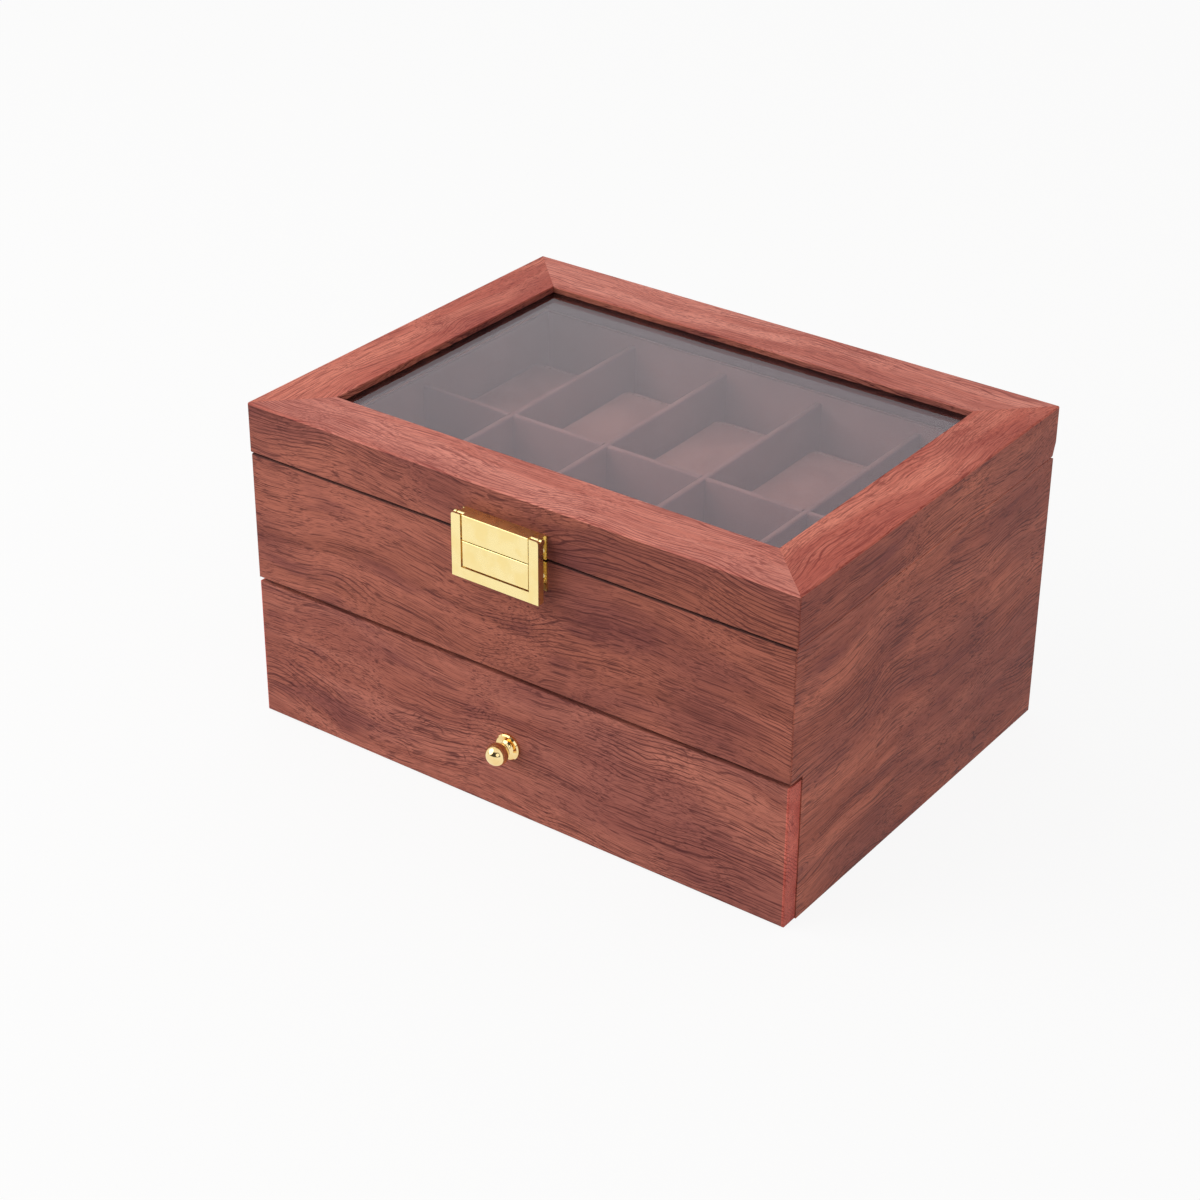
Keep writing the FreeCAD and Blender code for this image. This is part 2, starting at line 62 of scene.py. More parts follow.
# Studio: the floor, whose fibres are drawn coarser than real ones, the room's even light, and
# one soft lamp
floor_radius = 6.0
floor_sides = 64
floor_colour = "E9E7E5"
floor_fibre_colour = "EFEDEB"
floor_fibre = 2 * mm
floor_white_share = 0.9
room_strength = 0.62
lamp_place = Vector((-1.0, -1.05, 0.95))
lamp_size = 1.6
lamp_power = 15.0

# What metal and glass mirror: a bright room, its dim side behind the camera, and a window in
# that side. A pair says where something begins and where it is full, as a direction's Y or Z.
mirrored_room = 1.0
mirrored_dim_side = 0.06
dim_side_towards_front = (-0.20, -0.50)
dim_side_above_floor = (0.02, 0.12)
dim_side_below_ceiling = (0.85, 0.65)
window_way = Vector((0.62, -0.66, 0.42)).normalized()
window_rim = (0.955, 0.97)
window_strength = 1.2

# Veneer: how deep the sheet on an edge reaches, what is stained, and the painted shade at a
# seam
edge_sheet_depth = 0.9 * mm
lid_wall = 10 * mm
stain_margin = 0.1 * mm
# Painted shade: how far from each seam the dark line reaches, and how it fades out
seam_shade_reach = 0.65 * mm
seam_shade_fade_outside = 0.25 * mm
seam_shade_fade_inside = 0.15 * mm
seam_shade_share = 0.80
pore_depth = 0.05 * mm

# The grain wanders about 4 mm to each side over some 80 mm, and 0.3 mm over some 14 mm
wide_wander = (80 * mm, 18 * mm)
small_wander = (14 * mm, 1.2 * mm)

# Marks in the wood: length and width, the noise at which a mark begins and is full, and the
# detail of that noise. Fibres and pores are drawn coarser than real ones, so that they show.
wood_marks = {
    "bands": (180 * mm, 13 * mm, 0.38, 0.64, 3.0),
    "smoke": (120 * mm, 42 * mm, 0.46, 0.66, 2.0),
    "clouds": (60 * mm, 13 * mm, 0.52, 0.76, 3.0),
    "where_rings": (90 * mm, 14 * mm, 0.44, 0.60, 3.0),
    "where_curls": (34 * mm, 12 * mm, 0.57, 0.68, 3.0),
    "where_fine": (50 * mm, 6 * mm, 0.38, 0.62, 3.0),
    "streaks": (80 * mm, 0.65 * mm, 0.55, 0.68, 1.0),
    "fibres": (18 * mm, 0.34 * mm, 0.46, 0.70, 1.0),
    "pores": (4 * mm, 0.32 * mm, 0.56, 0.68, 1.0),
    "where_pores": (24 * mm, 8 * mm, 0.34, 0.62, 3.0),
}
# Growth lines: their spacing, how many spacings they drift, length and width of the noise
# that bends them, and the height on their wave at which a line begins
growth_marks = {
    "rings": (2.0 * mm, 9, 90 * mm, 20 * mm, 0.45),
    "curls": (2.4 * mm, 16, 34 * mm, 16 * mm, 0.3),
    "fine": (0.9 * mm, 9, 60 * mm, 11 * mm, 0.1),
}
bend_detail = 1.5
# The marks in the order in which they are laid over the bands: how strongly, in which tone
wood_layers = [
    ("smoke", 0.44, "cloud"),
    ("clouds", 0.60, "cloud"),
    ("curls", 0.60, "line"),
    ("rings", 0.72, "line"),
    ("fine", 0.30, "line"),
    ("streaks", 0.66, "line"),
    ("fibres", 0.46, "line"),
    ("pores", 0.46, "pore"),
]

# The tones of each sheet of wood, in the order of wood_tones
wood_tones = ("light", "field", "cloud", "line", "pore")
drawer_sheet = ("C07664", "A96353", "713C3F", "4E2628", "401F20")
front_sheet = ("B46B59", "A05D4C", "6B393B", "4A2426", "3D1D1E")
# Painted light: the sides are the front's wood in a lighter tone, for how the side faces are
# lit
side_sheet_with_painted_light = ("C8745E", "B0614E", "763C3D", "4E2526", "401E1E")
# The tops of the lid's rails: partly a coral sheet of their own, partly painted light for the
# light on the top; the long rails' sheet is paler still, a painted sheen
long_lid_top_and_painted_sheen = ("EC9886", "D27A69", "B05E52", "8A403C", "6C3232")
short_lid_top_and_painted_light = ("E68A74", "CA6A58", "A85046", "84342F", "662A28")
end_sheet = ("E87E6C", "CC6152", "A8483F", "7C2C2E", "622626")
board_sheet = ("8E5A48", "7C4A3C", "6B3E36", "563029", "482621")
bead_sheet = ("2C1B1D", "24171A", "1E1416", "191012", "140D0E")
stain = "43292F"
# Painted shade: the colour of the dark line along each seam, where the gap is in shade
seam_painted_shade = "24171A"

# Velvet, metal and glass
pile_speckle = 0.30
pile_relief = 0.12 * mm
handled_patch = 7 * mm
polish_grain = 0.6 * mm
hairline_width = 0.25 * mm
hairline_depth = 0.004 * mm
hairline_polish = 0.04
glass_smear = (60 * mm, 25 * mm)

# Cushions
cushion_count = 10
cushion_swell = 2.5 * mm
swell_shares = (1.0, 0.8)
cushion_edge = 6 * mm
cushion_edge_steps = 3
cushion_edge_fullness = 0.6
cushion_voxel = 3.6 * mm
cushion_pressure = 4.0
cushion_travel = 6 * mm
cushion_foot = 1.0 * mm
cloth_frames = 20
seam_from_end = 5 * mm
seam_half_width = 1.0 * mm
seam_depth = 0.9 * mm
stitch_pitch = 3.4 * mm
stitch_length = 2.2 * mm
stitch_radius = 0.34 * mm
stitch_raise = 0.12 * mm
stitch_beside_seam = 1.8 * mm
stitch_foot = 2 * mm
on_line = 0.01 * mm
shortest_edge = 0.02 * mm

# Hinge screws
screw_spacing = 16 * mm
screw_head_sides = 32
screw_shank_sides = 24
screw_shank_share = 0.53
screw_head_depth = 0.9 * mm
screw_slot_width = 0.5 * mm
screw_slot_depth = 0.45 * mm


# Small helpers

def linear(code):
    """An sRGB hex colour as the linear colour that the shaders take."""
    values = [int(code[i:i + 2], 16) / 255 for i in (0, 2, 4)]
    values = [v / 12.92 if v <= 0.04045 else ((v + 0.055) / 1.055) ** 2.4 for v in values]
    return tuple(values) + (1.0,)


def add(tree, kind, inputs=None, **settings):
    """Adds a node. Each input takes a plain value or another node's socket."""
    made = tree.nodes.new(kind)
    for name, value in settings.items():
        setattr(made, name, value)
    for name, value in (inputs or {}).items():
        if isinstance(value, bpy.types.NodeSocket):
            tree.links.new(value, made.inputs[name])
        else:
            made.inputs[name].default_value = value
    return made


def new_material(name):
    material = bpy.data.materials.new(name)
    material.use_nodes = True
    material.node_tree.nodes.clear()
    return material, material.node_tree


def new_object(name, data):
    thing = bpy.data.objects.new(name, data)
    scene.collection.objects.link(thing)
    return thing


# Wood

def wood_figure(tree, place, along):
    """The masks of all marks, by name, in wood whose grain runs along that axis."""
    grain = "XYZ".index(along)

    def wander(length, reach):
        """A sway across the grain, by reach times noise of that length."""
        noise = add(tree, "ShaderNodeTexNoise", {"Vector": place, "Scale": 1 / length,
                                                 "Detail": 1.0})
        centred = add(tree, "ShaderNodeVectorMath", {
            0: noise.outputs["Color"], 1: (0.5, 0.5, 0.5)}, operation="SUBTRACT")
        sway = Vector((reach, reach, reach))
        sway[grain] = 0
        return add(tree, "ShaderNodeVectorMath", {0: centred.outputs[0], 1: sway},
                   operation="MULTIPLY").outputs[0]

    bent = place
    for length, reach in (wide_wander, small_wander):
        bent = add(tree, "ShaderNodeVectorMath", {0: bent, 1: wander(length, reach)},
                   operation="ADD").outputs[0]
    across = Vector((1, 1, 1))
    across[grain] = 0
    depth = add(tree, "ShaderNodeVectorMath", {0: bent, 1: across}, operation="DOT_PRODUCT")

    def soft_noise(length, width, detail):
        """Noise whose marks are about length by width along the grain."""
        stretch = Vector((1 / width, 1 / width, 1 / width))
        stretch[grain] = 1 / length
        laid = add(tree, "ShaderNodeMapping", {"Vector": bent, "Scale": stretch})
        noise = add(tree, "ShaderNodeTexNoise", {"Vector": laid.outputs[0], "Scale": 1.0,
                                                 "Detail": detail, "Roughness": 0.6})
        return noise.outputs["Fac"]

    # The height of each mark's noise or wave, where on it the mark begins, and where it is full
    heights = {}
    for mark, (length, width, begins, full, detail) in wood_marks.items():
        heights[mark] = (soft_noise(length, width, detail), begins, full)
    for mark, (spacing, drift, length, width, begins) in growth_marks.items():
        turns = add(tree, "ShaderNodeMath", {0: depth.outputs["Value"],
                                             1: math.tau / spacing}, operation="MULTIPLY")
        phase = add(tree, "ShaderNodeMath", {
            0: soft_noise(length, width, bend_detail), 1: drift * math.tau,
            2: turns.outputs[0]}, operation="MULTIPLY_ADD")
        wave = add(tree, "ShaderNodeMath", {0: phase.outputs[0]}, operation="SINE")
        heights[mark] = (wave.outputs[0], begins, 1.0)

    marks = {}
    for mark, (height, begins, full) in heights.items():
        mask = add(tree, "ShaderNodeMapRange", {"Value": height, "From Min": begins,
                                                "From Max": full},
                   interpolation_type="SMOOTHSTEP")
        marks[mark] = mask.outputs["Result"]
    for mark in ("rings", "curls", "fine", "pores"):
        some = add(tree, "ShaderNodeMath", {0: marks[mark], 1: marks["where_" + mark]},
                   operation="MULTIPLY")
        marks[mark] = some.outputs[0]
    return marks


def rosewood_veneer(name, along, sheet, edge_sheet=None, edge_axis="Z", edge_from=1.0,
                    stained=None, seams=()):
    """Sliced rosewood-look veneer under a satin lacquer: growth lines that flow and fade,
    short dark pores along the grain, and smoky purple clouds and curls. A second sheet
    covers what lies further out than edge_from on edge_axis. Wood nearer to the middle than
    the corner called stained, and below it, is stained dark. At the height of each seam a
    dark line is painted along the edge of the sheet: painted shade of the gap there."""
    material, tree = new_material(name)
    place = add(tree, "ShaderNodeTexCoord").outputs["Object"]
    marks = wood_figure(tree, place, along)

    def away(axis, origin=0.0):
        """How far a point lies from the origin on that axis, to either side."""
        axes = add(tree, "ShaderNodeSeparateXYZ", {0: place})
        way = add(tree, "ShaderNodeMath", {0: axes.outputs[axis], 1: origin},
                  operation="SUBTRACT")
        return add(tree, "ShaderNodeMath", {0: way.outputs[0]}, operation="ABSOLUTE").outputs[0]

    tones = dict(zip(wood_tones, [linear(code) for code in sheet]))
    if edge_sheet:
        outer = add(tree, "ShaderNodeMath", {0: away(edge_axis), 1: edge_from},
                    operation="GREATER_THAN").outputs[0]
        for tone, code in zip(wood_tones, edge_sheet):
            both = add(tree, "ShaderNodeMix", {0: outer, 6: tones[tone], 7: linear(code)},
                       data_type="RGBA")
            tones[tone] = both.outputs[2]

    # What is laid over the light tone, one on the other: where, and in which colour
    layers = [(marks["bands"], tones["field"])]
    for mark, share, tone in wood_layers:
        strength = add(tree, "ShaderNodeMath", {0: marks[mark], 1: share},
                       operation="MULTIPLY")
        layers.append((strength.outputs[0], tones[tone]))
    if stained:
        near = 1.0
        for axis, edge in zip("XYZ", stained):
            inside = add(tree, "ShaderNodeMath", {0: away(axis), 1: edge},
                         operation="LESS_THAN")
            near = add(tree, "ShaderNodeMath", {0: inside.outputs[0], 1: near},
                       operation="MULTIPLY").outputs[0]
        layers.append((near, linear(stain)))
    # Painted shade: a dark line along each seam, where the gap between the parts falls in shade
    for seam in seams:
        gap_shade = add(tree, "ShaderNodeMapRange", {
            "Value": away("Z", seam), "From Min": seam_shade_reach + seam_shade_fade_outside,
            "From Max": seam_shade_reach - seam_shade_fade_inside, "To Max": seam_shade_share},
            interpolation_type="SMOOTHSTEP")
        layers.append((gap_shade.outputs["Result"], linear(seam_painted_shade)))
    colour = tones["light"]
    for where, layer in layers:
        colour = add(tree, "ShaderNodeMix", {0: where, 6: colour, 7: layer},
                     data_type="RGBA").outputs[2]

    relief = add(tree, "ShaderNodeMath", {0: marks["pores"], 1: marks["fibres"]},
                 operation="ADD")
    bump = add(tree, "ShaderNodeBump", {"Height": relief.outputs[0], "Distance": pore_depth,
                                        "Strength": 0.5}, invert=True)
    lacquer = add(tree, "ShaderNodeMapRange", {"Value": marks["pores"], "To Min": 0.45,
                                               "To Max": 0.60})
    wood = add(tree, "ShaderNodeBsdfPrincipled", {
        "Base Color": colour, "Roughness": lacquer.outputs["Result"], "IOR": 1.5,
        "Normal": bump.outputs[0], "Specular IOR Level": 0.07})
    add(tree, "ShaderNodeOutputMaterial", {"Surface": wood.outputs[0]})
    return material


lid_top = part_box("lid_front_rail")[1].z - edge_sheet_depth
drawer_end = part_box("drawer_front")[1].x - edge_sheet_depth
lid_inside = (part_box("lid_right_rail")[1].x - lid_wall + stain_margin,
              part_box("lid_back_rail")[1].y - lid_wall + stain_margin,
              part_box("lid_glass")[0].z)
lid_seam = (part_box("upper_front_panel")[1].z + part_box("lid_front_rail")[0].z) / 2
drawer_seam = (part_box("drawer_front")[1].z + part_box("upper_front_panel")[0].z) / 2
veneer_case_front = rosewood_veneer("sliced_rosewood_veneer_case_front", "X", front_sheet,
                                    seams=(lid_seam, drawer_seam))
veneer_case_back = rosewood_veneer("sliced_rosewood_veneer_case_back", "X", front_sheet,
                                   seams=(lid_seam,))
# The sides take the lighter copy of the front's wood: painted light
veneer_case_deep = rosewood_veneer("sliced_rosewood_veneer_case_sides", "Y", side_sheet_with_painted_light)
veneer_drawer = rosewood_veneer("sliced_rosewood_veneer_drawer_front", "X", drawer_sheet,
                                end_sheet, "X", drawer_end, seams=(drawer_seam,))
# The rail tops take the lighter sheets: partly their own coral veneer, partly painted light,
# and on the long rails a painted sheen
veneer_lid_long = rosewood_veneer("sliced_rosewood_veneer_lid_long_rails", "X", front_sheet,
                                  long_lid_top_and_painted_sheen, "Z", lid_top, lid_inside, (lid_seam,))
veneer_lid_deep = rosewood_veneer("sliced_rosewood_veneer_lid_short_rails", "Y", side_sheet_with_painted_light,
                                  short_lid_top_and_painted_light, "Z", lid_top, lid_inside)
stained_board = rosewood_veneer("stained_birch_board", "X", board_sheet)
stained_bead = rosewood_veneer("dark_stained_birch_bead", "X", bead_sheet)


# Velvet, flock and thread

def velvet(name, deep, pale, pile, brushed, sheen):
    """Cut-pile velvet: the pile lies in brushed patches that turn lighter and darker, and
    its tips catch light at the rim. pile is drawn coarser than the real 0.1 mm tufts, so
    that it shows."""
    material, tree = new_material(name)
    place = add(tree, "ShaderNodeTexCoord").outputs["Object"]
    patches = add(tree, "ShaderNodeTexNoise", {"Vector": place, "Scale": 1 / brushed,
                                               "Detail": 3.0, "Distortion": 0.6})
    tufts = add(tree, "ShaderNodeTexNoise", {"Vector": place, "Scale": 1 / pile,
                                             "Detail": 2.0})
    lay = add(tree, "ShaderNodeMapRange", {
        "Value": patches.outputs["Fac"], "From Min": 0.34, "From Max": 0.66},
        interpolation_type="SMOOTHSTEP")
    speckle = add(tree, "ShaderNodeMapRange", {
        "Value": tufts.outputs["Fac"], "From Min": 0.30, "From Max": 0.70,
        "To Min": -pile_speckle, "To Max": pile_speckle})
    share = add(tree, "ShaderNodeMath", {0: lay.outputs["Result"],
                                         1: speckle.outputs["Result"]},
                operation="ADD", use_clamp=True)
    colour = add(tree, "ShaderNodeMix", {0: share.outputs[0], 6: linear(deep),
                                         7: linear(pale)}, data_type="RGBA")
    bump = add(tree, "ShaderNodeBump", {"Height": tufts.outputs["Fac"],
                                        "Distance": pile_relief, "Strength": 0.4})
    cloth = add(tree, "ShaderNodeBsdfPrincipled", {
        "Base Color": colour.outputs[2], "Roughness": 0.92, "Normal": bump.outputs[0],
        "Specular IOR Level": 0.2, "Sheen Weight": sheen, "Sheen Roughness": 0.45,
        "Sheen Tint": linear(pale)})
    add(tree, "ShaderNodeOutputMaterial", {"Surface": cloth.outputs[0]})
    return material


# Painted shade: the lining is the cushions' velvet in a darker tone, for the shade down in the
# tray and the drawer
lining_velvet_painted_shade = velvet("cut_pile_velvet_lining_painted_shade", "6E4846", "7E5653", 0.6 * mm, 60 * mm, 0.1)
cushion_velvet = velvet("cut_pile_velvet_cushion", "7C504A", "8A5D56", 0.6 * mm, 30 * mm, 0.1)
base_flocking = velvet("blown_flock_base", "1B1513", "2B2220", 0.35 * mm, 9 * mm, 0.2)


def stitch_thread():
    """Spun polyester thread, two plies that show as a fine slanted stripe."""
    material, tree = new_material("spun_polyester_thread")
    place = add(tree, "ShaderNodeTexCoord").outputs["Object"]
    plies = add(tree, "ShaderNodeTexWave", {"Vector": place, "Scale": 1 / stitch_length,
                                            "Distortion": 0.8}, bands_direction="DIAGONAL")
    colour = add(tree, "ShaderNodeMix", {0: plies.outputs["Fac"], 6: linear("7E5A4F"),
                                         7: linear("9A766A")}, data_type="RGBA")
    spun = add(tree, "ShaderNodeBsdfPrincipled", {
        "Base Color": colour.outputs[2], "Roughness": 0.75, "Sheen Weight": 0.3})
    add(tree, "ShaderNodeOutputMaterial", {"Surface": spun.outputs[0]})
    return material


thread = stitch_thread()


# Metal

def plated_metal(name, pale, deep, polish, handled, hairline_length=polish_grain):
    """Plated brass. Handling leaves soft patches that are a little duller, and a brushed face
    has hairlines along X, drawn coarser than real ones, so that they show."""
    material, tree = new_material(name)
    place = add(tree, "ShaderNodeTexCoord").outputs["Object"]
    smears = add(tree, "ShaderNodeTexNoise", {"Vector": place, "Scale": 1 / handled_patch,
                                              "Detail": 3.0})
    hair = Vector((1 / hairline_length, 1 / hairline_width, 1 / hairline_width))
    laid = add(tree, "ShaderNodeMapping", {"Vector": place, "Scale": hair})
    lines = add(tree, "ShaderNodeTexNoise", {"Vector": laid.outputs[0], "Scale": 1.0,
                                             "Detail": 2.0})
    worn = add(tree, "ShaderNodeMapRange", {
        "Value": smears.outputs["Fac"], "From Min": 0.35, "From Max": 0.68},
        interpolation_type="SMOOTHSTEP")
    colour = add(tree, "ShaderNodeMix", {0: worn.outputs["Result"], 6: linear(pale),
                                         7: linear(deep)}, data_type="RGBA")
    dull = add(tree, "ShaderNodeMapRange", {"Value": worn.outputs["Result"],
                                            "To Min": polish, "To Max": handled})
    grit = add(tree, "ShaderNodeMapRange", {
        "Value": lines.outputs["Fac"], "To Min": -hairline_polish, "To Max": hairline_polish})
    rough = add(tree, "ShaderNodeMath", {0: dull.outputs["Result"],
                                         1: grit.outputs["Result"]},
                operation="ADD", use_clamp=True)
    bump = add(tree, "ShaderNodeBump", {"Height": lines.outputs["Fac"],
                                        "Distance": hairline_depth, "Strength": 0.35})
    metal = add(tree, "ShaderNodeBsdfPrincipled", {
        "Base Color": colour.outputs[2], "Metallic": 1.0, "Roughness": rough.outputs[0],
        "Normal": bump.outputs[0]})
    add(tree, "ShaderNodeOutputMaterial", {"Surface": metal.outputs[0]})
    return material


satin_gold = plated_metal("satin_gold_plate", "FFEBAC", "FCE49E", 0.26, 0.32, 12 * mm)
polished_gold = plated_metal("polished_gold_plate", "FAE0A6", "F2CC88", 0.06, 0.12)
hinge_brass = plated_metal("stamped_brass", "D9BC74", "C6A55C", 0.26, 0.42, 9 * mm)


# Glass

def float_glass():
    """Clear float glass, a thin pane with wiped smears that only show in the reflection,
    which is a little rosy. Lamp rays pass straight through, so that the tray is lit."""
    material, tree = new_material("clear_float_glass")
    place = add(tree, "ShaderNodeTexCoord").outputs["Object"]
    laid = add(tree, "ShaderNodeMapping", {
        "Vector": place, "Scale": (1 / glass_smear[0], 1 / glass_smear[1], 1.0)})
    smears = add(tree, "ShaderNodeTexNoise", {"Vector": laid.outputs[0], "Scale": 1.0,
                                              "Detail": 4.0})
    rough = add(tree, "ShaderNodeMapRange", {
        "Value": smears.outputs["Fac"], "From Min": 0.45, "From Max": 0.75,
        "To Min": 0.0, "To Max": 0.03})
    glass = add(tree, "ShaderNodeBsdfPrincipled", {
        "Base Color": linear("FCFCFC"), "Roughness": rough.outputs["Result"], "IOR": 1.45,
        "Specular Tint": linear("FFC8E6"), "Transmission Weight": 1.0})
    clear = add(tree, "ShaderNodeBsdfTransparent", {"Color": linear("FCFCFC")})
    ray = add(tree, "ShaderNodeLightPath").outputs
    both = add(tree, "ShaderNodeMixShader", {0: ray["Is Shadow Ray"], 1: glass.outputs[0],
                                             2: clear.outputs[0]})
    add(tree, "ShaderNodeOutputMaterial", {"Surface": both.outputs[0]})
    return material


pane_glass = float_glass()

finishes = [
    (veneer_case_front, ["upper_front_panel"]),
    (veneer_case_back, ["back_panel"]),
    (veneer_case_deep, ["left_side_panel", "right_side_panel"]),
    (veneer_drawer, ["drawer_front"]),
    (veneer_lid_long, ["lid_front_rail", "lid_back_rail"]),
    (veneer_lid_deep, ["lid_left_rail", "lid_right_rail"]),
    (stained_board, ["bottom_board", "tray_deck", "drawer_left_side", "drawer_right_side",
                     "drawer_back", "drawer_bottom"]),
    (stained_bead, ["glazing_beads"]),
    (lining_velvet_painted_shade, ["tray_floor_lining", "tray_wall_lining", "tray_long_divider",
                     "tray_cross_dividers", "drawer_floor_lining", "drawer_wall_lining",
                     "drawer_long_divider", "drawer_cross_dividers"]),
    (base_flocking, ["base_flock"]),
    (pane_glass, ["lid_glass"]),
    (satin_gold, ["latch_lid_plate", "latch_keeper", "latch_flap", "latch_pin",
                  "latch_lid_brads", "latch_keeper_brads"]),
    (polished_gold, ["drawer_knob"]),
    (hinge_brass, ["hinge_left_case_leaf", "hinge_right_case_leaf", "hinge_left_lid_leaf",
                   "hinge_right_lid_leaf", "hinge_pins"]),
]
for material, names in finishes:
    for name in names:
        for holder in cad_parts[name].material_slots:
            holder.material = material


# Geometry Nodes: trees that repeat small pieces

def new_tree(name, sizes):
    """A geometry tree with one geometry input, a number input for each name in sizes, and a
    material input. Returns it with the sockets of its inputs."""
    tree = bpy.data.node_groups.new(name, "GeometryNodeTree")
    tree.interface.new_socket("Geometry", in_out="INPUT", socket_type="NodeSocketGeometry")
    for size in sizes:
        tree.interface.new_socket(size, in_out="INPUT", socket_type="NodeSocketFloat")
    tree.interface.new_socket("Material", in_out="INPUT", socket_type="NodeSocketMaterial")
    tree.interface.new_socket("Geometry", in_out="OUTPUT", socket_type="NodeSocketGeometry")
    return tree, add(tree, "NodeGroupInput").outputs


def end_tree(tree, size, instances):
    """Makes the instances real, gives them their material and ends the tree."""
    real = add(tree, "GeometryNodeRealizeInstances", {0: instances})
    painted = add(tree, "GeometryNodeSetMaterial", {"Geometry": real.outputs[0],
                                                    "Material": size["Material"]})
    add(tree, "NodeGroupOutput", {"Geometry": painted.outputs[0]})


def run_tree(name, carrier_mesh, tree, values):
    """Runs the tree on the mesh and returns the result as a plain object."""
    carrier = new_object(name + "_carrier", carrier_mesh)
    modifier = carrier.modifiers.new("tree", "NODES")
    modifier.node_group = tree
    for socket in tree.interface.items_tree:
        if socket.in_out == "INPUT" and socket.name in values:
            modifier[socket.identifier] = values[socket.name]
    shown = carrier.evaluated_get(bpy.context.evaluated_depsgraph_get())
    mesh = bpy.data.meshes.new_from_object(shown)
    carrier.modifiers.clear()
    bpy.data.objects.remove(carrier)
    mesh.name = name
    return new_object(name, mesh)


def slotted_screw_tree():
    """A countersunk screw with a sawn slot at each point of the mesh, its head towards +Z."""
    tree, size = new_tree("slotted_screws", [
        "Head Radius", "Shank Radius", "Head Depth", "Length", "Slot Width", "Slot Depth",
        "Tilt", "Seed"])
    head = add(tree, "GeometryNodeMeshCone", {
        "Vertices": screw_head_sides, "Radius Top": size["Head Radius"],
        "Radius Bottom": size["Shank Radius"], "Depth": size["Head Depth"]})
    below = add(tree, "ShaderNodeMath", {0: size["Head Depth"], 1: -1.0}, operation="MULTIPLY")
    head_drop = add(tree, "ShaderNodeCombineXYZ", {"Z": below.outputs[0]})
    set_head = add(tree, "GeometryNodeTransform", {"Geometry": head.outputs["Mesh"],
                                                   "Translation": head_drop.outputs[0]})
    shank_long = add(tree, "ShaderNodeMath", {0: size["Length"], 1: size["Head Depth"]},
                     operation="SUBTRACT")
    shank = add(tree, "GeometryNodeMeshCylinder", {
        "Vertices": screw_shank_sides, "Radius": size["Shank Radius"],
        "Depth": shank_long.outputs[0]})
    both = add(tree, "ShaderNodeMath", {0: size["Length"], 1: size["Head Depth"]},
               operation="ADD")
    shank_middle = add(tree, "ShaderNodeMath", {0: both.outputs[0], 1: -0.5},
                       operation="MULTIPLY")
    shank_drop = add(tree, "ShaderNodeCombineXYZ", {"Z": shank_middle.outputs[0]})
    set_shank = add(tree, "GeometryNodeTransform", {"Geometry": shank.outputs["Mesh"],
                                                    "Translation": shank_drop.outputs[0]})

    # The saw is longer than the head is wide, and half of its height is above the face
    wide = add(tree, "ShaderNodeMath", {0: size["Head Radius"], 1: 3.0}, operation="MULTIPLY")
    high = add(tree, "ShaderNodeMath", {0: size["Slot Depth"], 1: 2.0}, operation="MULTIPLY")
    saw_size = add(tree, "ShaderNodeCombineXYZ", {
        "X": wide.outputs[0], "Y": size["Slot Width"], "Z": high.outputs[0]})
    saw = add(tree, "GeometryNodeMeshCube", {"Size": saw_size.outputs[0]})
    sawn = add(tree, "GeometryNodeMeshBoolean", {
        "Mesh 1": set_head.outputs[0], "Mesh 2": saw.outputs[0]}, operation="DIFFERENCE")
    whole = add(tree, "GeometryNodeJoinGeometry")
    tree.links.new(sawn.outputs["Mesh"], whole.inputs[0])
    tree.links.new(set_shank.outputs[0], whole.inputs[0])
    turn = add(tree, "FunctionNodeRandomValue", {
        "Min": (0.0, 0.0, 0.0), "Max": (0.0, 0.0, math.tau), "Seed": size["Seed"]},
        data_type="FLOAT_VECTOR")
    tip = add(tree, "ShaderNodeCombineXYZ", {"X": size["Tilt"]})
    spun = add(tree, "GeometryNodeInstanceOnPoints", {
        "Points": size["Geometry"], "Instance": whole.outputs[0],
        "Rotation": turn.outputs[0]})
    tipped = add(tree, "GeometryNodeRotateInstances", {"Instances": spun.outputs[0],
                                                       "Rotation": tip.outputs[0]})
    end_tree(tree, size, tipped.outputs[0])
    return tree


def stitch_tree():
    """Thread stitches in a row along each line of the mesh."""
    tree, size = new_tree("stitches", ["Pitch", "Length", "Radius"])
    line = add(tree, "GeometryNodeMeshToCurve", {"Mesh": size["Geometry"]})
    places = add(tree, "GeometryNodeResampleCurve", {"Curve": line.outputs[0],
                                                     "Length": size["Pitch"]}, mode="LENGTH")
    ball = add(tree, "GeometryNodeMeshUVSphere", {"Segments": 6, "Rings": 4, "Radius": 1.0})
    half = add(tree, "ShaderNodeMath", {0: size["Length"], 1: 0.5}, operation="MULTIPLY")
    shape = add(tree, "ShaderNodeCombineXYZ", {"X": half.outputs[0], "Y": size["Radius"],
                                               "Z": size["Radius"]})
    stitch = add(tree, "GeometryNodeTransform", {"Geometry": ball.outputs["Mesh"],
                                                 "Scale": shape.outputs[0]})
    tangent = add(tree, "GeometryNodeInputTangent")
    aim = add(tree, "FunctionNodeAlignRotationToVector", {"Vector": tangent.outputs[0]},
              axis="X")
    row = add(tree, "GeometryNodeInstanceOnPoints", {
        "Points": places.outputs[0], "Instance": stitch.outputs[0],
        "Rotation": aim.outputs[0]})
    end_tree(tree, size, row.outputs[0])
    return tree


# Hinge screws: four in the case with their heads up, four in the lid with their heads down

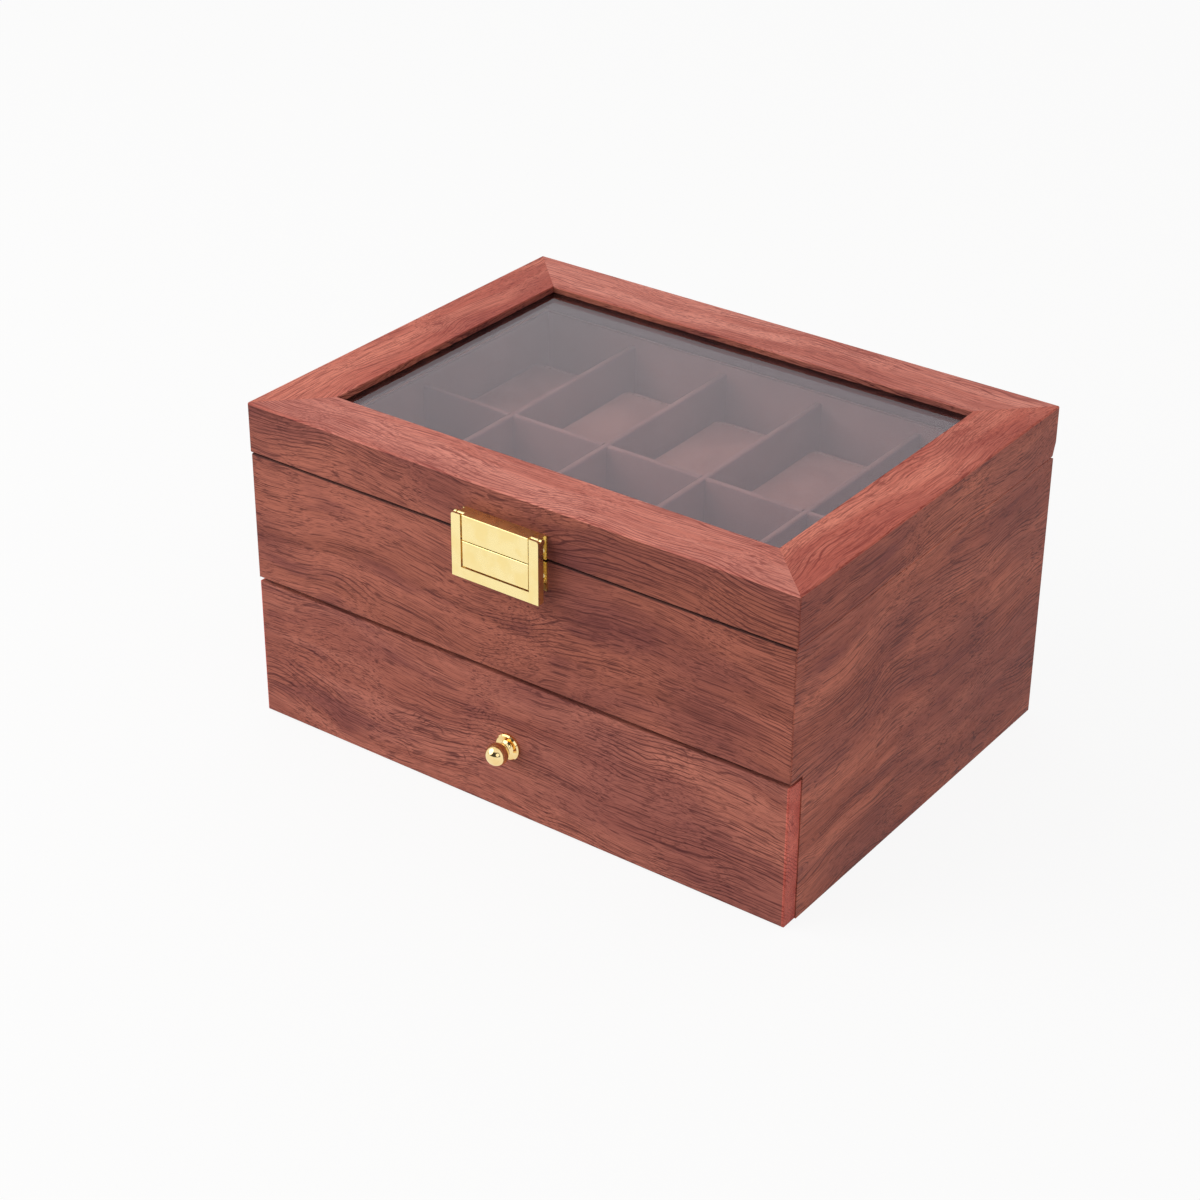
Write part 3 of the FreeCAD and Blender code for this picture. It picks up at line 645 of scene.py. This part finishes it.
screws = slotted_screw_tree()
for node_name, body, tilt, seed in (("hinge_case_screws", "case", 0.0, 3),
                                    ("hinge_lid_screws", "lid", math.pi, 8)):
    low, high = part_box(node_name)
    head_radius = (high.y - low.y) / 2
    face_z = low.z if tilt else high.z
    outer_x = high.x - head_radius
    points = bpy.data.meshes.new("screw_places")
    points.from_pydata([(side * (outer_x - step), (low.y + high.y) / 2, face_z)
                        for side in (-1, 1) for step in (0, screw_spacing)], [], [])
    slotted = run_tree("slotted_" + node_name, points, screws, {
        "Head Radius": head_radius, "Shank Radius": head_radius * screw_shank_share,
        "Head Depth": screw_head_depth, "Length": high.z - low.z,
        "Slot Width": screw_slot_width, "Slot Depth": screw_slot_depth, "Tilt": tilt,
        "Seed": seed, "Material": hinge_brass})
    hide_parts(node_name)
    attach(slotted, body)


# Cushions

def inflate(size, shrink):
    """A foam block in a velvet sleeve: a smaller block that cloth with pressure swells."""
    body = bmesh.new()
    bmesh.ops.create_cube(body, size=1.0)
    bmesh.ops.scale(body, vec=size - Vector((2, 2, 2)) * shrink, verts=body.verts)
    bmesh.ops.bevel(body, geom=body.edges[:], offset=cushion_edge, affect="EDGES",
                    segments=cushion_edge_steps, profile=cushion_edge_fullness)
    mesh = bpy.data.meshes.new("cushion_form")
    body.to_mesh(mesh)
    body.free()
    form = new_object("cushion_form", mesh)
    grid = form.modifiers.new("grid", "REMESH")
    grid.mode = "VOXEL"
    grid.voxel_size = cushion_voxel
    shown = form.evaluated_get(bpy.context.evaluated_depsgraph_get())
    form.data = bpy.data.meshes.new_from_object(shown)
    form.modifiers.clear()
    before = [v.co.copy() for v in form.data.vertices]
    cloth = form.modifiers.new("cloth", "CLOTH")
    cloth.settings.use_pressure = True
    cloth.settings.uniform_pressure_force = cushion_pressure
    cloth.settings.effector_weights.gravity = 0
    cloth.point_cache.frame_start = 1
    cloth.point_cache.frame_end = cloth_frames
    for number in range(1, cloth_frames + 1):
        scene.frame_set(number)
    shown = form.evaluated_get(bpy.context.evaluated_depsgraph_get())
    after = [v.co.copy() for v in shown.data.vertices]
    form.modifiers.clear()
    for vertex, old, new in zip(form.data.vertices, before, after):
        way = new - old
        vertex.co = old + way * min(1, cushion_travel / max(way.length, 1e-9))
    scene.frame_set(1)
    return form


def finish_cushion(form, size):
    """Fits the swollen form to its place, subdivides it and draws in the two end seams.
    Returns its mesh, centred on its foot, and the lines that the stitches follow."""
    body = bmesh.new()
    body.from_mesh(form.data)
    bpy.data.objects.remove(form)
    bmesh.ops.subdivide_edges(body, edges=body.edges[:], cuts=1, use_grid_fill=True,
                              smooth=1.0)
    lows = [min(v.co[i] for v in body.verts) for i in range(3)]
    highs = [max(v.co[i] for v in body.verts) for i in range(3)]
    for vertex in body.verts:
        for i in range(3):
            middle = (lows[i] + highs[i]) / 2
            vertex.co[i] = (vertex.co[i] - middle) * size[i] / (highs[i] - lows[i])

    # Cuts give each seam its bottom and rims, and the stitches their line on the cloth
    seam_y = size.y / 2 - seam_from_end
    for side in (-1, 1):
        for step in (-seam_half_width, 0, seam_half_width, -stitch_beside_seam):
            bmesh.ops.bisect_plane(body, geom=body.verts[:] + body.edges[:] + body.faces[:],
                                   plane_co=(0, side * (seam_y + step), 0),
                                   plane_no=(0, 1, 0))
    body.normal_update()
    points, joined = [], []
    for side in (-1, 1):
        row_y = side * (seam_y - stitch_beside_seam)
        row = [v for v in body.verts
               if abs(v.co.y - row_y) < on_line and v.co.z > stitch_foot - size.z / 2]
        number = {v: len(points) + i for i, v in enumerate(row)}
        points += [v.co + v.normal * stitch_raise for v in row]
        joined += [(number[edge.verts[0]], number[edge.verts[1]]) for edge in body.edges
                   if edge.verts[0] in number and edge.verts[1] in number]
        for vertex in body.verts:
            if abs(vertex.co.y - side * seam_y) < on_line:
                out = Vector((vertex.normal.x, 0, vertex.normal.z)).normalized()
                vertex.co -= out * seam_depth
    lines = bpy.data.meshes.new("stitch_lines")
    lines.from_pydata(points, joined, [])

    # The foot is flat, because the cushion stands on it
    for vertex in body.verts:
        vertex.co.z += size.z / 2
        if vertex.co.z <= cushion_foot:
            vertex.co.z = 0.0
    for vertex in lines.vertices:
        vertex.co.z += size.z / 2
    bmesh.ops.dissolve_degenerate(body, dist=shortest_edge, edges=body.edges[:])
    mesh = bpy.data.meshes.new("cushion")
    body.to_mesh(mesh)
    body.free()
    mesh.materials.append(cushion_velvet)
    mesh.shade_smooth()
    return mesh, lines


low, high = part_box("tray_cushion_1")
cushion_size = high - low
variants = [finish_cushion(inflate(cushion_size, cushion_swell * share), cushion_size)
            for share in swell_shares]
stitching = stitch_tree()
for store in ("tray", "drawer"):
    for number in range(1, cushion_count + 1):
        name = store + "_cushion_" + str(number)
        low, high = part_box(name)
        foot = Matrix.Translation(((low.x + high.x) / 2, (low.y + high.y) / 2, low.z))
        place = foot @ Matrix.Rotation(math.pi * (number // 2 % 2), 4, "Z")
        mesh, lines = [source.copy() for source in variants[number % len(variants)]]
        mesh.transform(place)
        lines.transform(place)
        pillow = new_object(name + "_sewn", mesh)
        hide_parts(name)
        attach(pillow, name)
        row = run_tree(name + "_stitches", lines, stitching, {
            "Pitch": stitch_pitch, "Length": stitch_length, "Radius": stitch_radius,
            "Material": thread})
        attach(row, name)


# Studio: floor, room, lamp and camera

def pale_floor():
    """Matt white paper. What the camera sees of it is part glow, so that it comes out near
    white and keeps a faint shadow."""
    material, tree = new_material("matt_white_paper")
    place = add(tree, "ShaderNodeTexCoord").outputs["Object"]
    fibre = add(tree, "ShaderNodeTexNoise", {"Vector": place, "Scale": 1 / floor_fibre,
                                             "Detail": 2.0})
    tone = add(tree, "ShaderNodeMix", {0: fibre.outputs["Fac"], 6: linear(floor_colour),
                                       7: linear(floor_fibre_colour)}, data_type="RGBA")
    paper = add(tree, "ShaderNodeBsdfDiffuse", {"Color": tone.outputs[2]})
    glow = add(tree, "ShaderNodeEmission", {"Color": linear("FFFFFF"), "Strength": 1.0})
    ray = add(tree, "ShaderNodeLightPath").outputs
    seen = ray["Is Camera Ray"]
    for kind in ("Is Glossy Ray", "Is Transmission Ray"):
        seen = add(tree, "ShaderNodeMath", {0: seen, 1: ray[kind]},
                   operation="MAXIMUM").outputs[0]
    share = add(tree, "ShaderNodeMath", {0: seen, 1: floor_white_share}, operation="MULTIPLY")
    both = add(tree, "ShaderNodeMixShader", {0: share.outputs[0], 1: paper.outputs[0],
                                             2: glow.outputs[0]})
    add(tree, "ShaderNodeOutputMaterial", {"Surface": both.outputs[0]})
    return material


def room_light():
    """A white room. The camera sees it at white, also through the glass. Reflections show
    its dim side and the window there, and everything else is lit by it evenly."""
    room = bpy.data.worlds.new("room")
    room.use_nodes = True
    tree = room.node_tree
    tree.nodes.clear()
    way = add(tree, "ShaderNodeTexCoord").outputs["Generated"]
    axes = add(tree, "ShaderNodeSeparateXYZ", {0: way}).outputs
    dim = 1.0
    for axis, (begins, full) in (("Y", dim_side_towards_front), ("Z", dim_side_above_floor),
                                 ("Z", dim_side_below_ceiling)):
        edge = add(tree, "ShaderNodeMapRange", {"Value": axes[axis], "From Min": begins,
                                                "From Max": full},
                   interpolation_type="SMOOTHSTEP")
        dim = add(tree, "ShaderNodeMath", {0: edge.outputs["Result"], 1: dim},
                  operation="MULTIPLY").outputs[0]
    toward = add(tree, "ShaderNodeVectorMath", {0: way, 1: window_way},
                 operation="DOT_PRODUCT")
    window = add(tree, "ShaderNodeMapRange", {
        "Value": toward.outputs["Value"], "From Min": window_rim[0],
        "From Max": window_rim[1]}, interpolation_type="SMOOTHSTEP")
    shade = add(tree, "ShaderNodeMapRange", {"Value": dim, "To Min": mirrored_room,
                                             "To Max": mirrored_dim_side})
    mirrored = add(tree, "ShaderNodeMath", {
        0: window.outputs["Result"], 1: window_strength, 2: shade.outputs["Result"]},
        operation="MULTIPLY_ADD")
    light = add(tree, "ShaderNodeBackground", {"Color": linear("FFFFFF"),
                                               "Strength": room_strength})
    shown = add(tree, "ShaderNodeBackground", {"Color": linear("FFFFFF"),
                                               "Strength": mirrored.outputs[0]})
    white = add(tree, "ShaderNodeBackground", {"Color": linear("FFFFFF"), "Strength": 1.0})
    ray = add(tree, "ShaderNodeLightPath").outputs
    lit = add(tree, "ShaderNodeMixShader", {0: ray["Is Glossy Ray"], 1: light.outputs[0],
                                            2: shown.outputs[0]})
    seen = add(tree, "ShaderNodeMath", {0: ray["Is Camera Ray"],
                                        1: ray["Is Transmission Ray"]}, operation="MAXIMUM")
    both = add(tree, "ShaderNodeMixShader", {0: seen.outputs[0], 1: lit.outputs[0],
                                             2: white.outputs[0]})
    add(tree, "ShaderNodeOutputWorld", {"Surface": both.outputs[0]})
    return room


disc = bmesh.new()
bmesh.ops.create_circle(disc, cap_ends=True, segments=floor_sides, radius=floor_radius)
floor_mesh = bpy.data.meshes.new("floor")
disc.to_mesh(floor_mesh)
disc.free()
floor_mesh.materials.append(pale_floor())
new_object("floor", floor_mesh)
scene.world = room_light()

lamp_data = bpy.data.lights.new("soft_lamp", "AREA")
lamp_data.shape = "DISK"
lamp_data.size = lamp_size
lamp_data.energy = lamp_power
lamp = new_object("soft_lamp", lamp_data)
lamp.location = lamp_place
lamp.rotation_euler = (camera_aim - lamp_place).to_track_quat("-Z", "Y").to_euler()

lens = bpy.data.cameras.new("camera")
lens.sensor_width = sensor_width_mm
lens.lens = sensor_width_mm * lens_px / picture_px
lens.shift_x = (picture_px / 2 - optical_centre_px[0]) / picture_px
lens.shift_y = (optical_centre_px[1] - picture_px / 2) / picture_px
camera = new_object("camera", lens)
facing = (Matrix.Rotation(camera_turn, 4, "Z")
          @ Matrix.Rotation(math.pi / 2 - camera_rise, 4, "X")
          @ Matrix.Rotation(camera_roll, 4, "Z"))
camera.matrix_world = (Matrix.Translation(camera_aim) @ facing
                       @ Matrix.Translation((0, 0, camera_distance)))
scene.camera = camera
scene.view_settings.view_transform = "Standard"
